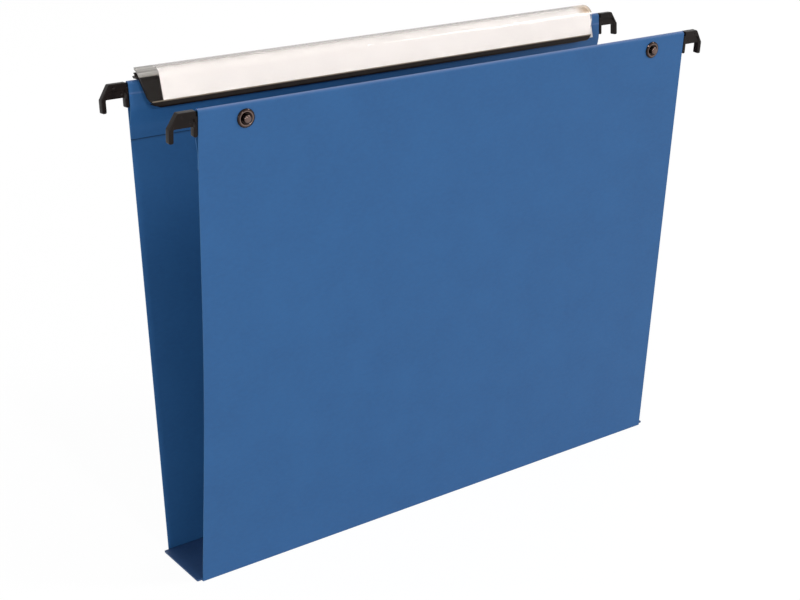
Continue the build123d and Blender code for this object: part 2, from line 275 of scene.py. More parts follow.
class HangingFileSettings(PropertyGroup):
    """Everything that a user can change."""

    card: PointerProperty(type=CardSizes, name="Card", description="Card sizes")
    hook: PointerProperty(type=HookSizes, name="Hooks", description="Hook sizes")
    stud: PointerProperty(type=StudSizes, name="Studs", description="Stud sizes")
    label: PointerProperty(type=LabelSizes, name="Label", description="Label sizes")
    finish: PointerProperty(type=Finishes, name="Finishes", description="Colours")
    stage: PointerProperty(type=StageSettings, name="Stage", description="Camera and light")


def panel_top(card):
    """Height of the top fold up the panel, from the frame's box.
    The fold is a half circle round the rail. Its centre lies in from the crease by the middle of the hem."""
    inwards = (card.hem_half - CARD / 2) * sin(LEAN)
    return (PANEL_BOX_TOP - CREASE_Z - card.hem_half - inwards) / cos(LEAN) + card.hem_half


def stand(local, side):
    """Points (x, v, w) of a panel's own frame, leaned outwards about the crease.
    The back panel is turned half round."""
    x, v, w = np.moveaxis(np.asarray(local), -1, 0)
    v = v + bpy.context.scene.hanging_file.card.hem_half - CARD / 2
    turn = 1 if side == "front" else -1
    y = v * cos(LEAN) - w * sin(LEAN)
    z = v * sin(LEAN) + w * cos(LEAN)
    return np.stack((turn * x, turn * (CREASE_Y + y), CREASE_Z + z), -1)


def smooth(t):
    """Step from 0 to 1 with level ends: 3 t^2 - 2 t^3, held outside that range."""
    t = np.clip(t, 0, 1)
    return t * t * (3 - 2 * t)


def round_off(near, radius):
    """How far a corner of this radius cuts in at a distance from its side: r - sqrt(r^2 - (r - near)^2)."""
    return radius - np.sqrt(radius ** 2 - (radius - np.clip(near, 0, radius)) ** 2)


def rounded(corners, radii, closed=True, steps=6):
    """Outline through corners, each cut by an arc tangent to both sides.
    The arc's centre lies on the bisector, at radius / sin(half the corner's angle)."""
    corners = np.asarray(corners, float)
    points = []
    for i, (corner, radius) in enumerate(zip(corners, radii)):
        if radius == 0 or (not closed and i in (0, len(corners) - 1)):
            points.append(corner[None])
            continue
        back = corners[i - 1] - corner
        ahead = corners[(i + 1) % len(corners)] - corner
        back /= np.linalg.norm(back)
        ahead /= np.linalg.norm(ahead)
        half = np.arccos(np.clip(back @ ahead, -1, 1)) / 2
        bisector = (back + ahead) / np.linalg.norm(back + ahead)
        centre = corner + bisector * radius / sin(half)
        first = corner + back * radius / tan(half) - centre
        last = corner + ahead * radius / tan(half) - centre
        sweep = pi - 2 * half
        share = np.linspace(0, 1, steps + 1)[:, None]
        arc = first * np.sin((1 - share) * sweep) + last * np.sin(share * sweep)
        points.append(centre + arc / sin(sweep))
    return np.vstack(points)


def lengths_along(line):
    """Length along a line up to each of its points."""
    return np.concatenate(([0.0], np.cumsum(np.linalg.norm(np.diff(line, axis=0), axis=1))))


def points_at(line, run, marks):
    """Points of a line at marks, which are lengths along it as run is."""
    return np.column_stack([np.interp(marks, run, column) for column in line.T])


def spaced(line, step):
    """A line with points added so that none lie much further apart than step; its own points stay."""
    run = lengths_along(line)
    extra = np.arange(step, run[-1], step)
    extra = extra[np.abs(extra[:, None] - run).min(1) > step / 3]
    return points_at(line, run, np.sort(np.concatenate((run, extra))))


def even(line, count):
    """A line as count points, evenly spaced along it."""
    run = lengths_along(line)
    return points_at(line, run, np.linspace(0, run[-1], count))


def ribbon(line, half):
    """Closed outline of a strip: the line moved by half its thickness to each side.
    It goes out along one side and back along the other. At a bend the sides meet on the bisector, so they
    stand off by half / cos(half the turn)."""
    ahead = np.diff(line, axis=0)
    ahead /= np.linalg.norm(ahead, axis=1, keepdims=True)
    normal = np.column_stack((-ahead[:, 1], ahead[:, 0]))
    before = np.vstack((normal[:1], normal))
    after = np.vstack((normal, normal[-1:]))
    middle = before + after
    middle /= np.linalg.norm(middle, axis=1, keepdims=True)
    side = middle / np.sum(middle * after, axis=1, keepdims=True) * np.reshape(half, (-1, 1))
    return np.vstack((line + side, (line - side)[::-1]))


def inset(outline, by):
    """A closed outline moved inwards: each point goes along the normal to the chord of its two neighbours."""
    chord = np.roll(outline, -1, 0) - np.roll(outline, 1, 0)
    normal = np.column_stack((-chord[:, 1], chord[:, 0]))
    normal /= np.linalg.norm(normal, axis=1, keepdims=True) + 1e-12
    x, y = outline.T
    turn = np.sign(np.sum(x * np.roll(y, -1) - y * np.roll(x, -1)))
    return outline + turn * by * normal


def carried(outline, start, stop, stations=2, edge=0.0, steps=3):
    """A section carried straight from start to stop, which may differ from point to point of the section.
    Both ends are rounded: over a quarter turn a the section shrinks by edge (1 - sin a) as it runs on by
    edge (1 - cos a)."""
    start = np.broadcast_to(start, len(outline))
    stop = np.broadcast_to(stop, len(outline))
    turns = np.linspace(0, pi / 2, steps + 1)[:-1] if edge else []
    rims = [(edge * (1 - cos(a)), inset(outline, edge * (1 - sin(a)))) for a in turns]
    lead = [np.column_stack((start + run, rim)) for run, rim in rims]
    tail = [np.column_stack((stop - run, rim)) for run, rim in reversed(rims)]
    share = np.linspace(0, 1, stations)[:, None]
    along = (start + edge) * (1 - share) + (stop - edge) * share
    body = np.concatenate((along[..., None], np.broadcast_to(outline, (stations,) + outline.shape)), -1)
    return np.concatenate([np.reshape(g, (-1, len(outline), 3)) for g in (lead, body, tail) if len(g)])


def turned(outline, sides):
    """A profile (radius, height) turned about the height axis: (r cos a, r sin a, h)."""
    radius, height = np.asarray(outline, float).T
    a = np.arange(sides) * 2 * pi / sides
    flat = np.broadcast_to(height[:, None], (len(height), sides))
    return np.stack((np.outer(radius, np.cos(a)), np.outer(radius, np.sin(a)), flat), -1)


def skin(grid, caps):
    """Faces over a grid whose rows are closed rings: its quads and its cap faces.
    caps is flat (one face at each end), pairs (quads across a strip), loop (the last row joins the first)
    or none."""
    rows, ring = grid.shape[:2]
    index = np.arange(rows * ring).reshape(rows, ring)
    low, high = (index, np.roll(index, -1, 0)) if caps == "loop" else (index[:-1], index[1:])
    quads = np.stack((low, np.roll(low, -1, 1), np.roll(high, -1, 1), high), -1).reshape(-1, 4).tolist()
    ends = []
    if caps == "flat":
        ends = [index[0].tolist(), index[-1].tolist()]
    elif caps == "pairs":
        half = ring // 2
        for row in (index[0], index[-1]):
            out, home = row[:half], row[half:][::-1]
            ends += np.stack((out[:-1], out[1:], home[1:], home[:-1]), -1).tolist()
    return quads, ends


def put(name, data):
    """A new object with this data, in the scene."""
    thing = bpy.data.objects.new(name, data)
    bpy.context.scene.collection.objects.link(thing)
    return thing


def make_piece(name, shells, finish, body, slot, *nodes, cut=None, crisp=40.0):
    """One object from closed shells, which rides on a body and stands for nodes.
    A shell is a grid of world points with its kind of caps, and perhaps the painted light of its points: painted
    highlight above 0 and painted shade below 0. Cap faces take the cut finish if there is one, and edges sharper
    than crisp degrees stay sharp."""
    points, faces, marks, wear = [], [], [], []
    first = 0
    for grid, caps, *with_painted_light in shells:
        wear.append(np.broadcast_to(with_painted_light[0] if with_painted_light else 0.0, grid.shape[:2]).ravel())
        quads, ends = skin(grid, caps)
        faces += [[first + k for k in face] for face in quads + ends]
        marks += [0] * len(quads) + [1 if cut else 0] * len(ends)
        points.append(grid.reshape(-1, 3))
        first += grid.shape[0] * grid.shape[1]
    mesh = bpy.data.meshes.new(name)
    mesh.from_pydata(np.concatenate(points).tolist(), [], faces)
    mesh.polygons.foreach_set("material_index", marks)
    # A point layer of painted light: painted highlight above 0, painted shade below 0.
    highlighted = mesh.attributes.new("wear", "FLOAT", "POINT")
    highlighted.data.foreach_set("value", np.concatenate(wear).astype(np.float32))
    tidy = bmesh.new()
    tidy.from_mesh(mesh)
    bmesh.ops.remove_doubles(tidy, verts=tidy.verts, dist=SAME_POINT)
    bmesh.ops.recalc_face_normals(tidy, faces=tidy.faces)
    tidy.to_mesh(mesh)
    tidy.free()
    mesh.shade_smooth()
    mesh.set_sharp_from_angle(angle=radians(crisp))
    for material in filter(None, (finish, cut)):
        mesh.materials.append(material)
    piece = put(name, mesh)
    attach(piece, body)
    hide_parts(*nodes)


def choose(tree, share, first, second, output):
    """Mixes two shaders of a node tree by a share and sends the mix to its output."""
    chooser = tree.nodes.new("ShaderNodeMixShader")
    tree.links.new(share, chooser.inputs["Fac"])
    tree.links.new(first, chooser.inputs[1])
    tree.links.new(second, chooser.inputs[2])
    tree.links.new(chooser.outputs["Shader"], tree.nodes[output].inputs["Surface"])


class Finish:
    """A material on the piece's own coordinates, with short ways to add its nodes."""

    def __init__(self, name):
        self.material = bpy.data.materials.new(name)
        self.material.use_nodes = True
        self.tree = self.material.node_tree
        self.shader = self.tree.nodes["Principled BSDF"]
        self.place = self.add("ShaderNodeTexCoord").outputs["Object"]

    def add(self, kind, **settings):
        """A new node of this kind, with its settings."""
        node = self.tree.nodes.new(kind)
        for key, value in settings.items():
            setattr(node, key, value)
        return node

    def feed(self, source, target):
        """Links one node's output to another's input."""
        self.tree.links.new(source, target)

    def give(self, socket, value):
        """Sets a socket to a constant, or links it to what another node gives."""
        if isinstance(value, bpy.types.NodeSocket):
            self.feed(value, socket)
        else:
            socket.default_value = value

    def set(self, **values):
        """Values of the shader's own sockets, named with underscores."""
        for key, value in values.items():
            self.give(self.shader.inputs[key.replace("_", " ")], value)

    def noise(self, size, detail=2.0, stretch=(1, 1, 1), distortion=0.0):
        """Noise whose features are about this size in metres, drawn out along each axis by stretch."""
        mapping = self.add("ShaderNodeMapping")
        mapping.inputs["Scale"].default_value = [1 / (size * s) for s in stretch]
        self.feed(self.place, mapping.inputs["Vector"])
        noise = self.add("ShaderNodeTexNoise")
        noise.inputs["Scale"].default_value = 1.0
        noise.inputs["Detail"].default_value = detail
        noise.inputs["Distortion"].default_value = distortion
        self.feed(mapping.outputs["Vector"], noise.inputs["Vector"])
        return noise.outputs["Fac"]

    def spread(self, source, low, high, start=0.3, stop=0.7):
        """A value stretched from start..stop to low..high."""
        node = self.add("ShaderNodeMapRange")
        for key, value in (("From Min", start), ("From Max", stop), ("To Min", low), ("To Max", high)):
            node.inputs[key].default_value = value
        self.feed(source, node.inputs["Value"])
        return node.outputs["Result"]

    def product(self, first, second):
        """Two values multiplied."""
        node = self.add("ShaderNodeMath", operation="MULTIPLY")
        self.feed(first, node.inputs[0])
        self.feed(second, node.inputs[1])
        return node.outputs[0]

    def between(self, share, first, last):
        """A colour between two others; each is a value or another node's output."""
        node = self.add("ShaderNodeMix", data_type="RGBA")
        self.feed(share, node.inputs["Factor"])
        for socket, value in ((node.inputs[6], first), (node.inputs[7], last)):
            self.give(socket, value if isinstance(value, bpy.types.NodeSocket) else (*value, 1.0))
        return node.outputs[2]

    def wear(self):
        """The painted-light mask that the piece's mesh carries: painted highlight above 0, painted shade below 0,
        and on the cover how far up the dome a point is.
        """
        return self.add("ShaderNodeAttribute", attribute_name="wear").outputs["Fac"]

    def with_painted_light(self, base, light, dark=None):
        """A colour that goes to a painted highlight where the piece's painted light is above 0, and to painted
        shade where it is below.
        """
        wear = self.wear()
        tone = self.between(self.spread(wear, 0.0, 1.0, 0.0, 1.0), base, light)
        return tone if dark is None else self.between(self.spread(wear, 1.0, 0.0, -1.0, 0.0), tone, dark)

    def relief(self, height, depth, strength=1.0, under=None):
        """Bump of this depth in metres, on top of another one if there is one."""
        node = self.add("ShaderNodeBump")
        node.inputs["Distance"].default_value = depth
        node.inputs["Strength"].default_value = strength
        self.feed(height, node.inputs["Height"])
        if under is not None:
            self.feed(under, node.inputs["Normal"])
        return node.outputs["Normal"]


def shade(value, factor):
    """A colour made darker or lighter."""
    return [min(1.0, channel * factor) for channel in value]


def card_finish(name, blue, deep, fold):
    """Dyed card: cloudy pulp, short fibres along the sheet, light specks and a faint tooth, with painted
    highlights on the top fold and the score and a painted shadow below the flap's edge.
    """
    finish = Finish(name)
    cloud = finish.spread(finish.noise(22 * MM, detail=3.0), 0.0, 1.0)
    pulp = finish.noise(1.6 * MM, detail=3.0, stretch=(1.8, 1, 1))
    fibre = finish.noise(0.35 * MM, detail=2.0, stretch=(3.5, 1, 1), distortion=0.6)
    base = finish.between(cloud, deep, blue)
    mottled = finish.between(finish.spread(pulp, 0.0, 0.35), base, shade(blue, 1.16))
    grained = finish.between(finish.spread(fibre, 0.0, 0.22, 0.5, 0.8), mottled, shade(blue, 1.55))
    soft = finish.relief(pulp, 0.06 * MM, 0.5)
    finish.set(Base_Color=finish.with_painted_light(grained, fold, shade(deep, 0.35)),
               Roughness=finish.spread(fibre, 0.52, 0.68), Normal=finish.relief(fibre, 0.03 * MM, 0.6, soft))
    return finish.material


def plastic_finish(name, tone, edge):
    """Moulded plastic: fine spark-eroded grain and handling marks in the gloss, with a painted highlight where the
    piece's painted-light mask is above 0.
    """
    finish = Finish(name)
    grain = finish.noise(0.25 * MM, detail=2.0)
    marks = finish.noise(5 * MM, detail=4.0)
    patchy = finish.between(finish.spread(marks, 0.0, 1.0), shade(tone, 0.75), shade(tone, 1.4))
    finish.set(Base_Color=finish.with_painted_light(patchy, edge), Roughness=finish.spread(marks, 0.36, 0.5),
               Normal=finish.relief(grain, 0.02 * MM, 0.6), Specular_IOR_Level=0.16)
    return finish.material


def metal_finish(name, tone, low, high, stretch=(1, 1, 1)):
    """Metal with fine scratches in its gloss, from low to high roughness, and slightly uneven colour.
    It gets a painted highlight where its painted-light mask is above 0 and painted shade where it is below."""
    finish = Finish(name)
    scratch = finish.noise(0.5 * MM, detail=4.0, stretch=stretch)
    patch = finish.noise(3 * MM, detail=3.0)
    patchy = finish.between(finish.spread(patch, 0.0, 1.0), shade(tone, 0.7), shade(tone, 1.3))
    # Painted highlight and painted shade, by the painted-light mask.
    finish.set(Base_Color=finish.with_painted_light(patchy, shade(tone, 4.5), shade(tone, 0.25)), Metallic=1.0,
               Roughness=finish.spread(scratch, low, high))
    return finish.material


def paper_finish(name, tone):
    """Uncoated paper: faint cloudiness, fibres and tooth."""
    finish = Finish(name)
    cloud = finish.noise(9 * MM, detail=3.0)
    fibre = finish.noise(0.4 * MM, detail=2.0, stretch=(3, 1, 1))
    base = finish.between(finish.spread(cloud, 0.0, 1.0), shade(tone, 0.97), shade(tone, 1.02))
    finish.set(Base_Color=finish.between(finish.spread(fibre, 0.0, 0.3), base, shade(tone, 0.93)),
               Roughness=finish.spread(fibre, 0.7, 0.85), Normal=finish.relief(fibre, 0.02 * MM, 0.5))
    return finish.material


def clear_finish(name, tint, smoke, dull, amber):
    """Clear extruded plastic that lets lamp light through, with drawn lines along its length in the gloss.
    The crown of the dome gets painted shade and the dome's right end a painted yellowish-brown reflection. Past
    the left end of the strip the cover gets a darker painted reflection over the plate, and the dome painted grey
    reflections in streaks, with less light let through. The painted-light mask says how far up the dome a point
    is."""
    finish = Finish(name)
    up = finish.wear()
    lines = finish.noise(0.6 * MM, detail=3.0, stretch=(60, 1, 1))
    axes = finish.add("ShaderNodeSeparateXYZ")
    finish.feed(finish.place, axes.inputs["Vector"])
    right_stop, left_stop = (-end for end in STRIP_ENDS)
    past = finish.spread(axes.outputs["X"], 1.0, 0.0, left_stop - 0.5 * MM, left_stop)
    # Mask for the painted reflection on the dome's right end.
    right = finish.spread(axes.outputs["X"], 0.0, 1.0, right_stop - 10 * MM, right_stop - 3 * MM)
    on_dome = finish.spread(up, 0.0, 1.0, 0.2, 0.45)
    left_end, right_end = finish.product(past, on_dome), finish.product(right, on_dome)
    # Painted grey reflections at the dome's left end, in streaks along the drawn lines.
    streaks = finish.between(finish.spread(lines, 0.0, 1.0, 0.4, 0.6), dull, shade(dull, 2.1))
    # Painted shade on the dome's crown.
    crown = finish.between(finish.spread(up, 0.0, 1.0, 0.5, 1.0), tint, smoke)
    # Past the strip's left end the whole cover gets a darker painted reflection; this mix also lays the right
    # end's painted reflection over the crown.
    ended = finish.between(past, finish.between(right_end, crown, amber), shade(dull, 1.5))
    finish.set(IOR=1.2, Base_Color=finish.between(left_end, ended, streaks),
               Roughness=finish.spread(lines, 0.02, 0.12), Normal=finish.relief(lines, 0.03 * MM, 0.3),
               Transmission_Weight=finish.spread(left_end, 1.0, 0.25, 0.0, 1.0))
    passing = finish.add("ShaderNodeBsdfTransparent")
    passing.inputs["Color"].default_value = (*tint, 1.0)
    shadow = finish.add("ShaderNodeLightPath").outputs["Is Shadow Ray"]
    choose(finish.tree, shadow, finish.shader.outputs["BSDF"], passing.outputs["BSDF"], "Material Output")
    return finish.material


def card_line(card):
    """Middle line (v, w) of a panel's sheet, with its half thickness.
    It has a round foot on the crease, the straight wall, a half circle over the rail, the hem's inside with
    its score, a soft step in and the flap on the wall."""
    top = panel_top(card)
    middle = card.hem_half - CARD / 2
    rest = CARD - middle
    fold_centre = top - card.hem_half
    high = top - card.rail_depth
    low = high - card.close_in
    foot = np.linspace(0, pi / 2, 5)
    fold = np.linspace(pi, 0, 17)
    step = np.linspace(0, 1, 25)[1:]
    inside = np.linspace(fold_centre, high, 40)[1:]
    score = card.score_depth * np.exp(-((inside - top + card.score_drop) / card.score_width) ** 2)
    flap = np.linspace(low, top - card.flap_depth, 7)[1:]
    wall = np.linspace(0, fold_centre, 91)[1:]
    # Extra points below the flap's edge carry the painted shadow there.
    wall = np.sort(np.concatenate((wall, flap[-1] + np.linspace(-3, 1, 9) * card.crease_width)))
    stretches = [
        (np.full(len(foot), -middle), -CARD / 2 * np.cos(foot)),
        (np.full(len(wall), -middle), wall),
        (middle * np.cos(fold[1:]), fold_centre + middle * np.sin(fold[1:])),
        (middle + score, inside),
        (middle + (rest - middle) * smooth(step), high + (low - high) * step),
        (np.full(len(flap), rest), flap),
    ]
    line = np.concatenate([np.column_stack(s) for s in stretches])
    half = np.full(len(line), CARD / 2)
    half[:len(foot)] = CARD / 2 * np.sin(foot)
    return line, half


def card_painted_light(card):
    """Painted light on the points of a panel's outline. The top fold's crest gets the strongest painted highlight
    and the score's ridge half as much. Below the edge of the flap the wall gets a painted shadow."""
    top = panel_top(card)
    outline = ribbon(*card_line(card))
    v, w = outline.T
    # Painted highlights on the fold's crest and on the score's ridge.
    fold = smooth(2 * (w - top) / card.hem_half + 1)
    score = 0.5 * np.exp(-((w - top + card.score_drop) / card.score_width) ** 2) * (v > 0)
    inner = np.arange(len(outline)) >= len(outline) // 2
    # Painted shadow: a dark band on the wall's inner face just below the flap's edge.
    below = (top - card.flap_depth - w) / card.crease_width
    crease = np.where(inner & (v < 0) & (below > -0.2), np.exp(-below ** 2), 0)
    return fold + score - crease


def panel_grid(card, bow):
    """A panel's section carried along the crease.
    The sheet bows out by bow sin(pi t)^1.3 at the left end, t being the share of the height from crease to
    flap. That fades as the 1.6th power of the way to the right, and the sheet ripples a little under the same
    arch."""
    outline = ribbon(*card_line(card))
    x = np.linspace(-HALF_WIDTH, HALF_WIDTH, 91)[:, None]
    v, w = outline.T
    t = np.clip(w / (panel_top(card) - card.flap_depth), 0, 1)
    arch = np.sin(pi * t) ** 1.3
    along = (x + HALF_WIDTH) / (2 * HALF_WIDTH)
    wave = card.ripple * np.sin(2 * pi * (1.7 * along + 0.6 * t)) * np.sin(pi * along) ** 2
    out = arch * (bow * (1 - along) ** 1.6 + wave)
    return np.stack(np.broadcast_arrays(x, v - out, w), -1)


class HookPlaces:
    """Places (x, w) of a right-hand hook's sides, its notch and the tips of its legs."""

    def __init__(self, hook, top):
        self.near = HALF_WIDTH + hook.gap
        self.throat_near = self.near + hook.inner_leg
        self.throat_far = self.throat_near + hook.throat
        self.far = self.throat_far + hook.outer_leg
        self.ridge = self.far - hook.shoulder
        self.high = top - hook.top_drop
        self.roof = top - hook.throat_drop
        self.shoulder = top - hook.shoulder_drop
        self.outer_tip = top - hook.outer_drop
        self.inner_tip = top - hook.inner_drop


def hook_curves(hook, at):
    """The hook's outer and inner curve, round the notch from the outer leg's tip to the inner leg's.
    They match point for point. The third result is each point's height above the tip of its leg, held at the
    tip's radius along the web."""
    r = hook.tip_round
    slope_steps, web_steps, notch_steps = 30, 30, 44
    turn = np.linspace(0, pi / 2, 12)
    tip = r * (1 - np.cos(np.linspace(0, pi / 2, 7)))

    def leg_side(x, end, up_to):
        """One side of a leg, and how far each of its points is above the tip."""
        rise = np.concatenate((tip, np.linspace(r, up_to - end, 14)[1:]))
        return np.column_stack((np.full(len(rise), x), end + rise)), rise

    far_out, far_rise = leg_side(at.far, at.outer_tip, at.shoulder - r)
    far_in, _ = leg_side(at.throat_far, at.outer_tip, at.roof - r)
    near_out, near_rise = leg_side(at.near, at.inner_tip, at.roof - r)
    near_in, _ = leg_side(at.throat_near, at.inner_tip, at.roof - r)
    slope = rounded([(at.far, at.shoulder - r), (at.far, at.shoulder), (at.ridge, at.high),
                     (at.ridge - r, at.high)], [0, r, r, 0], closed=False)
    corner_far = np.column_stack((at.throat_far - r + r * np.cos(turn), at.roof - r + r * np.sin(turn)))
    corner_near = np.column_stack((at.throat_near + r - r * np.sin(turn), at.roof - r + r * np.cos(turn)))
    web_out = np.linspace((at.ridge - r, at.high), (at.throat_near + r, at.high), web_steps)
    web_in = np.linspace((at.throat_far - r, at.roof), (at.throat_near + r, at.roof), web_steps)
    relief = at.high - hook.relief_depth
    beside = at.near + hook.relief_width
    notch = rounded([(at.throat_near + r, at.high), (beside, at.high), (beside, relief), (at.near, relief),
                     (at.near, at.roof - r)], [0, 0.3 * MM, 0.1 * MM, 0.2 * MM, 0], closed=False)
    outer = np.vstack((far_out, even(slope, slope_steps)[1:], web_out[1:], even(notch, notch_steps)[1:],
                       near_out[::-1][1:]))
    inner = np.vstack((far_in, even(corner_far, slope_steps)[1:], web_in[1:],
                       even(corner_near, notch_steps)[1:], near_in[::-1][1:]))
    web_rise = np.full(len(outer) - len(far_rise) - len(near_rise) + 1, r)
    return outer, inner, np.concatenate((far_rise, web_rise, near_rise[::-1][1:]))


def hook_grid(hook, top):
    """A right-hand hook as a band bent round the runner notch, with rounded tips to both legs.
    At each station a rounded section spans from the outer curve to the inner one, and is thinner below the
    flange. The two pits have the depth exp(-(distance / radius)^4)."""
    at = HookPlaces(hook, top)
    outer, inner, rise = hook_curves(hook, at)
    r, e = hook.tip_round, hook.edge_round
    narrowing = round_off(rise, r)[:, None]
    across = inner - outer
    across /= np.linalg.norm(across, axis=1, keepdims=True)
    outer = outer + across * narrowing
    inner = inner - across * narrowing
    width = np.linalg.norm(inner - outer, axis=1)[:, None]
    half = (hook.thickness / 2 - round_off(rise, e))[:, None]
    from_far = np.clip((at.throat_far - inner[:, 0]) / (r / 2), 0, 1)
    from_near = np.clip((inner[:, 0] - at.throat_near) / (r / 2), 0, 1)
    web = half - hook.recess * (from_far * from_near)[:, None]
    band = np.minimum(hook.flange - hook.top_drop, 0.5 * width)
    ledge = 0.1 * MM
    bend = np.linspace(0, pi / 2, 6)
    on_band = np.linspace(0, 1, 14)[1:]
    on_web = np.linspace(0, 1, 14)[:-1]
    share = np.concatenate([
        e * (1 - np.cos(bend)) + 0 * width,
        e + (band - ledge - e) * on_band,
        band + ledge + (width - e - band - ledge) * on_web,
        width - e * (1 - np.cos(bend[::-1])),
    ], axis=1)
    lift = np.concatenate([
        half - e + e * np.sin(bend),
        half + 0 * on_band,
        web + 0 * on_web,
        web - e + e * np.sin(bend[::-1]),
    ], axis=1)
    flat = outer[:, None] + across[:, None] * share[..., None]
    pits = (at.ridge - 2.2 * MM, at.high - 1.9 * MM), (at.throat_near + 1.6 * MM, at.roof + 2.2 * MM)
    for x, w in pits:
        distance = np.hypot(flat[..., 0] - x, flat[..., 1] - w)
        lift = lift - hook.pit_depth * np.exp(-(distance / hook.pit_radius) ** 4)
    front = np.stack((flat[..., 0], lift, flat[..., 1]), -1)
    back = np.stack((flat[..., 0], -lift, flat[..., 1]), -1)[:, ::-1]
    return np.concatenate((front, back), 1)


def tongue_grid(hook, card, top):
    """The hook's flat tongue: a rounded bar along the rail, its height drawn in over the lead at its end."""
    middle = top - card.hem_half - 0.1 * MM - hook.tongue_height / 2
    tall = hook.tongue_height / 2
    thin = hook.tongue_thickness / 2
    outline = rounded([(-thin, -tall), (thin, -tall), (thin, tall), (-thin, tall)], [0.25 * MM] * 4)
    start = HALF_WIDTH - hook.tongue
    x = np.array([start, start + hook.tongue_lead, HALF_WIDTH + hook.gap + hook.inner_leg / 2])
    squeeze = np.array([1 - hook.tongue_lead / tall, 1, 1])
    grid = np.empty((3, len(outline), 3))
    grid[..., 0] = x[:, None]
    grid[..., 1] = outline[:, 0]
    grid[..., 2] = middle + outline[:, 1] * squeeze[:, None]
    return grid


def on_stud_axis(grid, end, hem_half, outward):
    """Turned points (a, b, height) set on a stud's axis.
    The height counts from the hem's face, out of the file or into it."""
    a, b, height = np.moveaxis(grid, -1, 0)
    v = -hem_half - height if outward else hem_half + height
    return np.stack((end * STUD_X + a, v, STUD_W + b), -1)


def stud_profile(stud):
    """Half outline of the male half: dished flange with a raised ring, and a nub with a neck and a head."""
    corners = [(0, 0), (stud.flange, 0), (stud.flange, stud.rim), (stud.crest, stud.crest_height),
               (stud.dish, stud.dish_height), (stud.neck, stud.dish_height), (stud.neck, stud.neck_height),
               (stud.nub, stud.nub_low)]
    a = np.linspace(0, pi / 2, 14)
    waist = (stud.nub_low + stud.nub_high) / 2
    head = np.column_stack((stud.nub * np.cos(a), waist + (stud.nub_high - waist) * np.sin(a)))
    flange = rounded(corners, [r * MM for r in (0, 0.12, 0.25, 0.8, 0.4, 0.15, 0.15, 0)], closed=False)
    return np.vstack((flange, head))


def stud_painted_light(stud, profile):
    """Painted light on a stud's profile. The raised ring and the nub's head get painted highlights, and the slopes
    and the dish painted shade."""
    radius, height = profile.T
    ring_width = 0.45 * MM
    ring = np.exp(-((radius - stud.crest) / ring_width) ** 2) * (height > stud.dish_height)
    head = smooth((height - stud.nub_low) / (stud.nub_high - stud.nub_low))
    return (2 * np.maximum(0.75 * ring, 0.65 * head) - 0.8)[:, None]


def cap_profile(stud, hem_half, grip):
    """Half outline of a cap and its post: an elliptic dome, a thin rim, and the post through the hem."""
    a = np.linspace(0, pi / 2, 12)
    rise = stud.cap_height - stud.cap_rim
    dome = np.column_stack((stud.cap * np.sin(a), stud.cap_rim + rise * np.cos(a)))
    foot = -2 * hem_half - grip
    return np.vstack((dome, rounded([dome[-1], (stud.cap, 0), (stud.post, 0), (stud.post, foot), (0, foot)],
                                    [0, 0.1 * MM, 0, 0.2 * MM, 0], closed=False)[1:]))


def socket_profile(stud):
    """Closed outline of the female half: flange, barrel with a rolled mouth, bore and groove."""
    hole = stud.post + 0.05 * MM
    rim, slope_top = 0.6 * MM, 1.2 * MM
    corners = [(hole, 0), (stud.socket, 0), (stud.socket, rim), (stud.barrel, slope_top),
               (stud.barrel, stud.barrel_height), (stud.bore, stud.barrel_height),
               (stud.bore, stud.groove_high), (stud.groove, stud.groove_high),
               (stud.groove, stud.groove_low), (stud.bore, stud.groove_low),
               (stud.bore, stud.socket_grip), (hole, stud.socket_grip)]
    return rounded(corners, [r * MM for r in (0, 0.15, 0.25, 0.5, 0.6, 0.5, 0.1, 0.1, 0.1, 0.1, 0.1, 0)])


def ring_grid(stud):
    """Split ring: a round wire carried along an arc in the middle of the groove."""
    wire_sides = 14
    a = np.linspace(0, stud.ring_arc, 64)[:, None]
    b = np.arange(wire_sides) * 2 * pi / wire_sides
    radius = stud.ring + stud.wire * np.cos(b)
    height = (stud.groove_low + stud.groove_high) / 2 + stud.wire * np.sin(b)
    return np.stack(np.broadcast_arrays(radius * np.cos(a), radius * np.sin(a), height), -1)


